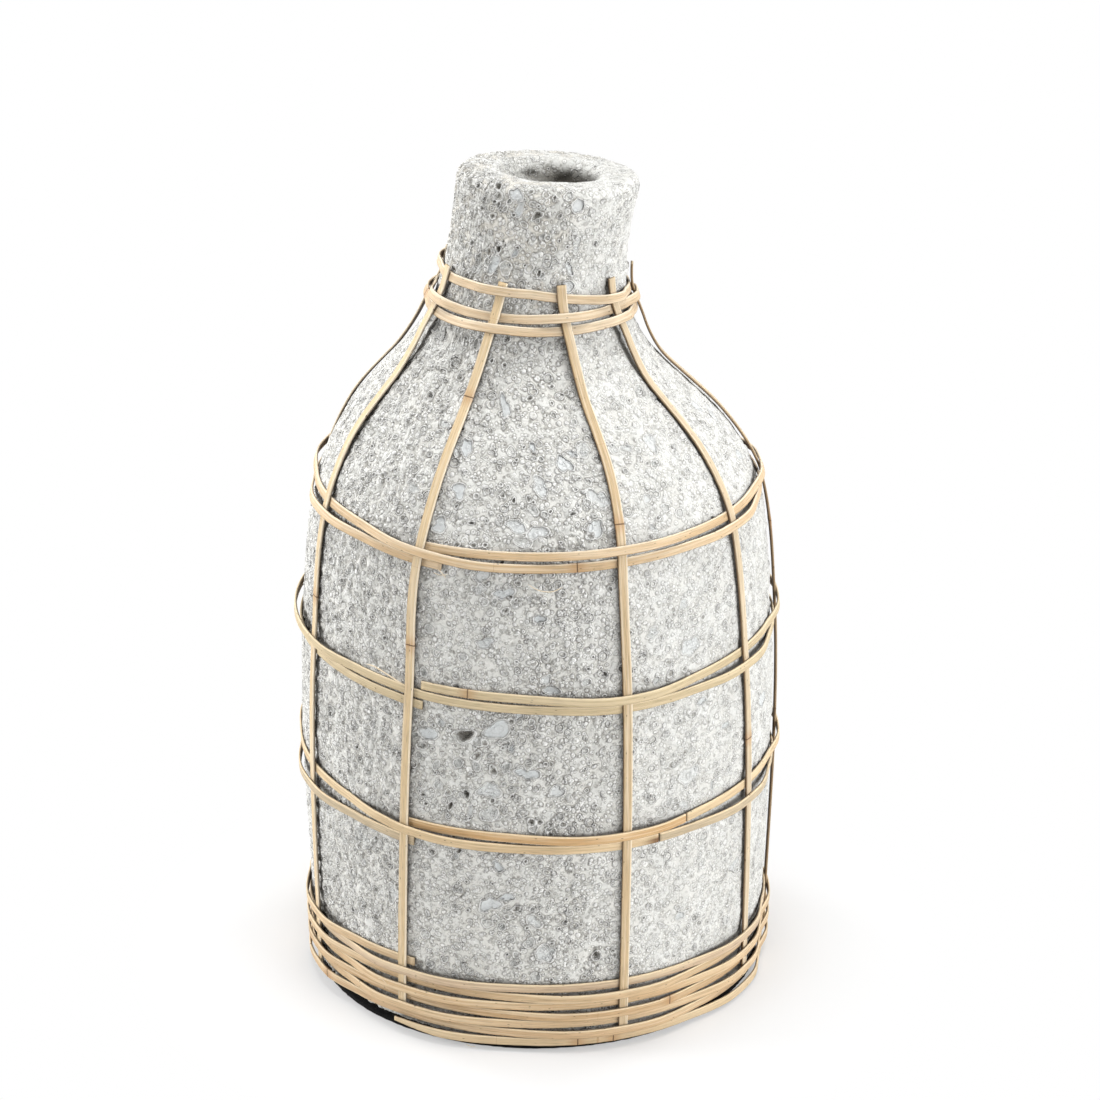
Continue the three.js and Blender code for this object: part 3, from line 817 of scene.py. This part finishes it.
def add_lumps(skin):
    """Undulations of the concrete and its crust, streaks at the left and a rough mouth."""
    points = skin.points
    broad = 0.8 * lumps(points, 46, 1) + 0.5 * lumps(points, 17, 2)
    crust = 1.0 * np.abs(lumps(points, 7.5, 3)) + 0.3 * np.abs(lumps(points, 3.4, 4)) - 0.3
    turned = np.stack(np.broadcast_arrays(
        FOOT_RADIUS * np.radians(SKIN_ANGLES)[None, :] / 2.0 + skin.path[:, None] / 14,
        skin.path[:, None] / 5.2,
        0.0,
    ), axis=-1)
    streak = 1.7 * np.abs(lumps(turned, 1.0, 5)) - 0.4
    left = ease(-skin.side, 26, 44) * ease(skin.side, -170, -120)
    skin.patch *= 1 - 0.8 * left
    inside = skin.path > skin.rim_path
    depth = (skin.path - skin.rim_path)[inside][:, None]
    mouth = 4.2 * lumps(points[inside], 13, 6) + 3.0 * lumps(points[inside], 6, 7)
    ledge = ease(depth, 11, 18) * fall(depth, 24, 40)
    ledge = ledge * np.exp(-((skin.side + 110) / 50) ** 2)
    calm = (1 - 0.8 * skin.patch) * (1 - 0.8 * skin.calm)
    skin.height += broad * (1 - 0.5 * skin.calm) + crust * calm + streak * left * calm
    skin.height = skin.height - RELIEF_SINK
    skin.height = np.where(skin.height > 0, skin.height * RELIEF_EASE, skin.height)
    skin.height[inside] += mouth * ease(depth, 4, 16) + 6.0 * ledge
    # How far each place lies below or above the softened relief: the material paints shade in the hollows
    # and highlights on the bumps from it.
    skin.cavity = skin.height - softened(skin.height, 7)


def skin_points(skin):
    """The skin's points moved out by its relief."""
    across = np.roll(skin.points, -1, axis=1) - np.roll(skin.points, 1, axis=1)
    up = np.gradient(skin.points, axis=0)
    normal = unit(np.cross(across, up))
    return skin.points + normal * skin.height[..., None]


def hidden_rings():
    """Rings under the foot and rings that carry the bore on down to the floor inside."""
    def ring(z, radius):
        return vase_point(SKIN_ANGLES, np.full(SKIN_COLUMNS, z), radius)

    neck_z = np.linspace(BORE_SKIN_END_Z - 2, SHOULDER_Z, 16)
    belly_z = np.linspace(SHOULDER_Z, FLOOR_Z, 12)[1:]
    under = [ring(FOOT_Z, radius) for radius in (4, 40, 80, 104)]
    inside = [ring(z, hollow_radius(z)) for z in (*neck_z, *belly_z)]
    inside += [ring(FLOOR_Z, radius) for radius in (70, 30, 4)]
    return np.array(under), np.array(inside)


def concrete_body(material):
    """The bottle with its craters, patches and rough mouth."""
    draw = np.random.default_rng(MARK_SEED)
    skin = Skin()
    for kind, count, sizes, crowd in SCATTERED_MARKS:
        scatter(skin, kind, count, sizes, draw, crowd)
    for angle, z, size, kind in FRONT_MARKS:
        skin.stamp(angle, float(skin.path_at(z)), size, kind, draw)
    for angle, depth, size in MOUTH_PITS:
        skin.stamp(angle, skin.rim_path + depth, size, PIT, draw)
    add_lumps(skin)
    add_crevices(skin)
    under, inside = hidden_rings()
    rings = np.concatenate([under, skin_points(skin), inside])
    ends = ((len(under), len(inside)), (0, 0))
    keys = ("rim", "hole", "patch", "calm", "inner", "cavity", "shade", "tan")
    numbers = {key: np.pad(getattr(skin, key), ends, "edge") for key in keys}
    piece = mesh_object("concrete_bottle", rings, 1, material, numbers)
    settle(piece, "concrete", "vase_body")


# The felt pad: radii of its plain faces, and the size and height of its fuzz.
FELT_RADII = (4, 60)
FUZZ_SIZE = 2.2
FUZZ_HEIGHT = 0.45


def felt_pad(material):
    """The pad with a soft, fuzzy edge."""
    radius = FOOT_RADIUS - FELT_INSET
    top = FELT_THICKNESS
    profile = [
        *[(plain, 0.2) for plain in FELT_RADII],
        (radius - 1.2, 0.0), (radius - 0.3, 0.3), (radius, 1.2), (radius, 2.8),
        (radius - 0.3, top - 0.3), (radius - 1.2, top),
        *[(plain, top) for plain in reversed(FELT_RADII)],
    ]
    angle = np.arange(FELT_SIDES) * 360 / FELT_SIDES
    points = np.array([vase_point(angle, np.full(FELT_SIDES, float(z)), at) for at, z in profile])
    edge = np.array([at > radius - 2 for at, _ in profile])[:, None]
    out = FUZZ_HEIGHT * lumps(points, FUZZ_SIZE, 11) * edge
    points[..., 0] += out * np.sin(np.radians(angle))
    points[..., 1] -= out * np.cos(np.radians(angle))
    piece = mesh_object("felt_base", points, 1, material)
    settle(piece, "felt", "felt_pad")


# The cane: half of a strip's section as (side, face) shares, mirrored for the other half.
HALF_SECTION = [(0.92, -1), (1, -0.85), (1, 0.5), (0.97, 0.8), (0.89, 0.97), (0.8, 1.0), (0.4, 1.04)]
OTHER_HALF = [(-side, face) for side, face in reversed(HALF_SECTION)]
SECTION = np.array([OTHER_HALF[-1], *HALF_SECTION, (0, 1.05), *OTHER_HALF[:-1]])
JOINT_FAR = 40.0
BURN_REACH = 7
RIB_CURVES = [
    curve_through(list(zip((FOOT_Z, WAIST_Z, SHOULDER_Z, SLOPE_Z, RIB_TOP_Z), reversed(angles))))
    for angles in RIB_ANGLES
]


def rib_end(index):
    """Height of a rib's lower end: the first rib stops higher than the others."""
    return FRONT_RIB_END_Z if index == 0 else RIB_END_Z


def across_line(middle, normal):
    """Directions across a line of points that lies on the vase."""
    return unit(np.cross(normal, unit(np.gradient(middle, axis=0))))


def strip_piece(name, middle, normal, width, thickness, material, joints, seed, tapers=(0, 0), burnt=0):
    """A flat strip of cane along a line, with worn edges, joints and blunt or tapered ends."""
    length = route_length(middle)
    across = across_line(middle, normal)
    gap = np.full(len(length), JOINT_FAR)
    for joint in joints:
        nearer = np.abs(length - joint) < np.abs(gap)
        gap = np.where(nearer, length - joint, gap)
    knuckle = np.exp(-(gap / 1.8) ** 2)
    half_width = width / 2 * (1 + 0.025 * wobble(length, 30, seed)) + 0.12 * knuckle
    half_thick = thickness / 2 * (1 + 0.05 * wobble(length, 22, seed + 3)) + 0.1 * knuckle
    roll = np.radians(2.5) * wobble(length, 45, seed + 7)
    ragged = [0.09 * wobble(length, 3.1, seed + 11), 0.09 * wobble(length, 3.1, seed + 13)]
    narrow = np.ones(len(length))
    for taper, gone in zip(tapers, (length, length[-1] - length)):
        if taper:
            narrow = np.minimum(narrow, np.clip(0.5 + gone / (2 * taper), 0, 1))
    rings = []
    for side, face in SECTION:
        edge = ragged[0] if side < 0 else -ragged[1]
        reach = half_width * (1 - narrow + side * narrow) + edge * (abs(side) > 0.85)
        lift = face * half_thick + reach * np.sin(roll)
        rings.append(middle + across * reach[:, None] + normal * lift[:, None])
    points = np.stack(rings, axis=1)
    numbers = {
        "along": length[:, None], "across": SECTION[:, 0], "lift": SECTION[:, 1], "joint": gap[:, None],
        "burn": burnt * np.exp(-((length[-1] - length) / BURN_REACH) ** 2)[:, None], "seed": seed * 3.7,
    }
    folds = max(1, round(math.sqrt(length[-1] / (2 * width + 2 * thickness))))
    return mesh_object(name, points, folds, material, numbers)


def crossing_angle(crossing, z):
    """Angles at crossing numbers, counted round from the first rib, whole on ribs."""
    rib = np.floor(crossing).astype(int)
    angles = np.array([curve(z) for curve in RIB_CURVES])
    column = np.arange(len(z))

    def on_rib(number):
        turns = number // RIB_COUNT
        return angles[number - turns * RIB_COUNT, column] + 360 * turns

    start = on_rib(rib)
    return start + (on_rib(rib + 1) - start) * (crossing - rib)


def crossing_side(band, crossing):
    """Side of the ribs on which a strip passes whole crossings: 1 over, -1 under."""
    floats = sum((crossing >= number).astype(int) for number in band.floats)
    even = np.abs(crossing - floats) % 2 == 0
    return np.where(even == band.over_first, 1, -1)


def side_along(band, crossing):
    """Side between crossings: the strip lifts over a rib, then lies back on the concrete."""
    rib = np.floor(crossing).astype(int)
    part = crossing - rib
    here = crossing_side(band, rib)
    following = crossing_side(band, rib + 1)
    down = ease(part, OVER_SHARE, DOWN_SHARE)
    up = ease(part, 1 - DOWN_SHARE, 1 - OVER_SHARE)
    return here + (following - here) * np.where(here > following, down, up)


def base_height(crossing):
    """Height of the base strip, which climbs one pitch with every turn."""
    turns = np.floor(crossing / RIB_COUNT)
    rise = BASE_STRIP_WIDTH * curve_through(BASE_TURN_WANDER)(crossing - turns * RIB_COUNT)
    return BASE_LOW_Z + turns * BASE_PITCH + rise


def wander_about(height, width, wander):
    """Height of a strip that wanders about a band's height."""
    rise = curve_through(wander)
    return lambda crossing: height + width * rise(crossing)


# A band: its strip, its route in crossings, the joints and splices along it, and its colours. The edge
# colour is also a painted highlight along the strip's upper edge.
Band = namedtuple(
    "Band", "name width ends over_first height joints edge faces floats splices tapers",
    defaults=((), (), (0, 0)),
)
BANDS = [
    Band(
        "neck", 4.7, (-2.3, 24.4), True, wander_about(NECK_BAND_Z, 4.8, NECK_WANDER),
        [5.4, 12.6, 16.4], (246, 232, 208), [(216, 190, 154)],
    ),
    Band(
        "shoulder", 4.5, (-0.02, 18.13), False, wander_about(SHOULDER_Z + 2.4, 4.6, SHOULDER_WANDER),
        [4.2, 9.78, 15.3], (246, 230, 204), [(219, 189, 148)],
    ),
    Band(
        "middle", 4.5, (0.05, 18.07), False, wander_about(WAIST_Z - 1.3, 4.6, MIDDLE_WANDER),
        [0.28, 5.7, 14.6], (240, 222, 188), [(210, 190, 152)], floats=[8, 10, 17, 18],
    ),
    Band(
        "lower", 4.7, (-0.02, 18.05), False, wander_about(BELLY_Z - 5.5, 4.9, LOWER_WANDER),
        [6.4, 13.8], (246, 224, 188), [(213, 173, 123), (220, 193, 152), (202, 183, 152)],
        splices=[1.41, 10.22],
    ),
    Band(
        "base", 4.5, (-0.05, 63.06), True, base_height,
        [0.8, 0.96, 4.5, 8.2, 13.7, 22.6, 28.3, 32.7, 41.2, 49.8, 58.4], (242, 222, 188),
        [
            (224, 198, 158), (214, 182, 142), (222, 192, 152), (206, 172, 130),
            (220, 188, 146), (214, 184, 144), (208, 182, 152), (216, 186, 146),
        ],
        splices=[5.4, 14.7, 23.3, 32.6, 41.4, 50.5, 58.6], tapers=(26, 0),
    ),
]
SPLICE_GAP = 0.005
CROSSING_LENGTH = 80
BURNT_STRIP = "lower_2"
BURN = 0.9
BAND_SEED = 60
BAND_SEED_STEP = 10


def weaver(band, seed):
    """One woven strip, of one length of cane or several laid end to end."""
    cuts = [band.ends[0], *band.splices, band.ends[1]]
    for number, (start, end) in enumerate(zip(cuts, cuts[1:])):
        count = int((end - start) * CROSSING_LENGTH / STRIP_STEP)
        crossing = np.linspace(start + SPLICE_GAP, end - SPLICE_GAP, count)
        z = band.height(crossing)
        distance = RIB_LAYER + LAYER_STEP * side_along(band, crossing)
        middle, normal = cane_place(crossing_angle(crossing, z), z, distance)
        inside = [joint for joint in band.joints if start < joint < end]
        joints = np.interp(inside, crossing, route_length(middle))
        name = f"{band.name}_{number + 1}"
        material = cane("cane_" + name, colour(*band.faces[number]), colour(*band.edge))
        tapers = band.tapers if number == 0 else (0, 0)
        piece = strip_piece(
            "woven_strip_" + name, middle, normal, band.width, STRIP_THICKNESS, material, joints,
            seed + number, tapers, BURN if name == BURNT_STRIP else 0,
        )
        settle(piece, "cane", "weaver_" + band.name)


# Colours of the ribs, and the heights of the joints along each. The pale edge colour is also a painted
# highlight along each rib's right edge.
PALE_EDGE = (244, 230, 206)
RIB_FACES = [(226, 200, 158), (210, 184, 145), (214, 193, 160), (216, 195, 159)]
RIB_JOINTS = [[332, 220], [281], [150], [240], [310, 96], [180], [262], [120], [222]]
RIB_SEED = 40


def rib(index):
    """One upright rib."""
    end = rib_end(index)
    z = np.linspace(RIB_TOP_Z, end, int((RIB_TOP_Z - end) / STRIP_STEP))
    middle, normal = cane_place(RIB_CURVES[index](z), z, RIB_LAYER)
    joints = np.interp([-height for height in RIB_JOINTS[index]], -z, route_length(middle))
    face = RIB_FACES[index % len(RIB_FACES)]
    material = cane(f"cane_rib_{index + 1}", colour(*face), colour(*PALE_EDGE))
    name = f"upright_rib_{index + 1}"
    seed = RIB_SEED + index
    piece = strip_piece(name, middle, normal, RIB_WIDTH, RIB_THICKNESS, material, joints, seed)
    settle(piece, "cane", f"rib_{index + 1}")


# Small leftovers of the weaving, and the numbers that their material reads.
FIBRE_FACE = (228, 208, 176)
FIBRE_SIDES = 6
FIBRE_NUMBERS = {"across": 0.0, "lift": 1.0, "joint": JOINT_FAR, "burn": 0.0, "seed": 5.0}


def whisker(name, places, thickness, material):
    """A thin fibre through (angle, height, distance from the skin) places, pointed at both ends."""
    share = np.linspace(0, 1, len(places))
    fine = np.linspace(0, 1, 8 * len(places))
    angle, z, distance = [curve_through(list(zip(share, values)))(fine) for values in zip(*places)]
    middle, normal = cane_place(angle, z, distance)
    across = across_line(middle, normal)
    half = thickness / 2 * np.clip(5 * np.minimum(fine, 1 - fine) + 0.15, 0, 1)[:, None]
    turns = 2 * math.pi * np.arange(FIBRE_SIDES) / FIBRE_SIDES
    rings = [middle + half * (across * math.cos(turn) + normal * math.sin(turn)) for turn in turns]
    points = np.stack(rings, axis=1)
    numbers = {"along": route_length(middle)[:, None], **FIBRE_NUMBERS}
    settle(mesh_object(name, points, 1, material, numbers), "cane")


WHISKERS = [
    (
        "split_sliver",
        [(-43, 203.2, 3.6), (-40, 203.8, 4.2), (-37, 202.6, 4.4), (-34, 200.6, 4.2), (-31.6, 198.6, 3.4)],
        0.8,
    ),
    ("loose_fibre_1", [(-24, 261, 4.4), (-22.5, 259.6, 5.4), (-21.4, 257.2, 5.2)], 0.35),
    ("loose_fibre_2", [(-25, 259, 4.4), (-23, 258.4, 5.0), (-21, 259.2, 4.6)], 0.3),
    ("loose_fibre_3", [(-2, 257.4, 3.2), (0.5, 254.6, 3.6), (3.6, 253.6, 3.0), (6.5, 255.8, 3.0)], 0.4),
    ("loose_fibre_4", [(-17, 3.8, 5.2), (-15.5, 3.6, 6.4), (-14.2, 4.6, 7.4)], 0.3),
    ("loose_fibre_5", [(-41, 28.4, 5.0), (-39, 29.6, 6.0), (-37.4, 28.2, 6.6)], 0.3),
]


# The stage, in metres and watts. The floor shows as itself near the vase and as white further out.
FLOOR_SIZE = 14
FLOOR_COLOUR = (0.88, 0.88, 0.88, 1)
FLOOR_NEAR = 0.115
FLOOR_FAR = 0.22
FLOOR_WHITE_NEAR = 0.4
SKY_STRENGTH = 0.1

# Lamps, as (name, place, height of the point that they look at, size, power).
LAMPS = [
    ("top", (0, -0.1, 1.9), 0.25, 0.9, 22),
    ("key", (1.5, -1.25, 0.75), 0.22, 1.4, 23.5),
    ("right", (1.6, -0.3, 0.7), 0.22, 0.4, 5.5),
    ("left", (-1.6, -0.12, 0.7), 0.22, 0.5, 15.5),
    ("left_back", (-1.35, 1.0, 0.8), 0.22, 0.5, 13),
    ("right_back", (1.3, 1.1, 0.8), 0.22, 0.5, 8),
]

# The camera, fitted to the photograph: its focal length is in pixels of the photograph.
PHOTO_SIZE = 1100
FOCAL_PIXELS = 4000
SENSOR_WIDTH = 36
CAMERA_TARGET = (6.7, 0, 226)
CAMERA_ELEVATION = 23.06
CAMERA_DISTANCE = 2.05


def seen(look):
    """Share of the rays that show the background: the camera's, mirrored and refracted ones."""
    path = look.add("ShaderNodeLightPath").outputs
    direct = look.math("MAXIMUM", path["Is Camera Ray"], path["Is Glossy Ray"])
    return look.math("MAXIMUM", direct, path["Is Transmission Ray"])


def floor():
    """A plain floor that keeps the vase's shadow and turns to pure white further out."""
    bpy.ops.mesh.primitive_plane_add(size=FLOOR_SIZE)
    plane = bpy.context.object
    plane.name = "floor"
    look = Look(bpy.data.materials.new("floor"))
    look.nodes.remove(look.nodes["Principled BSDF"])
    matt = look.add("ShaderNodeBsdfDiffuse", {"Color": FLOOR_COLOUR}).outputs["BSDF"]
    glow = look.add("ShaderNodeEmission").outputs["Emission"]
    far = look.add("ShaderNodeVectorMath", {0: look.place()}, operation="LENGTH").outputs["Value"]
    white = look.ramp(far, FLOOR_NEAR, FLOOR_FAR, FLOOR_WHITE_NEAR, 1.0)
    share = look.times(white, seen(look))
    mixed = look.add("ShaderNodeMixShader", {0: share, 1: matt, 2: glow}).outputs["Shader"]
    look.put(look.nodes["Material Output"].inputs["Surface"], mixed)
    plane.data.materials.append(look.owner)


def sky():
    """Even light from all sides, seen by the camera as white."""
    world = bpy.data.worlds.new("studio")
    bpy.context.scene.world = world
    look = Look(world)
    inputs = {"Value": seen(look), "To Min": SKY_STRENGTH, "To Max": 1.0}
    level = look.add("ShaderNodeMapRange", inputs).outputs["Result"]
    light = look.nodes["Background"].inputs
    look.put(light["Strength"], level)
    look.put(light["Color"], (1, 1, 1, 1))


def aimed(name, data, place, sight):
    """A lamp or camera at a place, looking along a direction."""
    item = bpy.data.objects.new(name, data)
    item.location = place
    item.rotation_euler = sight.to_track_quat("-Z", "Y").to_euler()
    bpy.context.scene.collection.objects.link(item)
    return item


def lamp(name, place, target_z, size, power):
    """A soft square lamp that looks at a point on the vase's axis."""
    data = bpy.data.lights.new(name, "AREA")
    data.size = size
    data.energy = power
    aimed(name, data, place, Vector((0, 0, target_z)) - Vector(place))


def camera():
    """The photograph's view: from the front, 23 degrees above the horizon."""
    elevation = math.radians(CAMERA_ELEVATION)
    back = Vector((0, -math.cos(elevation), math.sin(elevation)))
    data = bpy.data.cameras.new("camera")
    data.sensor_width = SENSOR_WIDTH
    data.lens = SENSOR_WIDTH * FOCAL_PIXELS / PHOTO_SIZE
    place = Vector(CAMERA_TARGET) * MM + back * CAMERA_DISTANCE
    bpy.context.scene.camera = aimed("camera", data, place, -back)


camera()
floor()
sky()
for lamp_row in LAMPS:
    lamp(*lamp_row)
bpy.context.scene.view_settings.view_transform = "Standard"

concrete_body(concrete())
felt_pad(felt())
for number in range(RIB_COUNT):
    rib(number)
for number, woven in enumerate(BANDS):
    weaver(woven, BAND_SEED + BAND_SEED_STEP * number)
fibre_cane = cane("cane_fibre", colour(*FIBRE_FACE), colour(*PALE_EDGE))
for name, places, thickness in WHISKERS:
    whisker(name, places, thickness, fibre_cane)
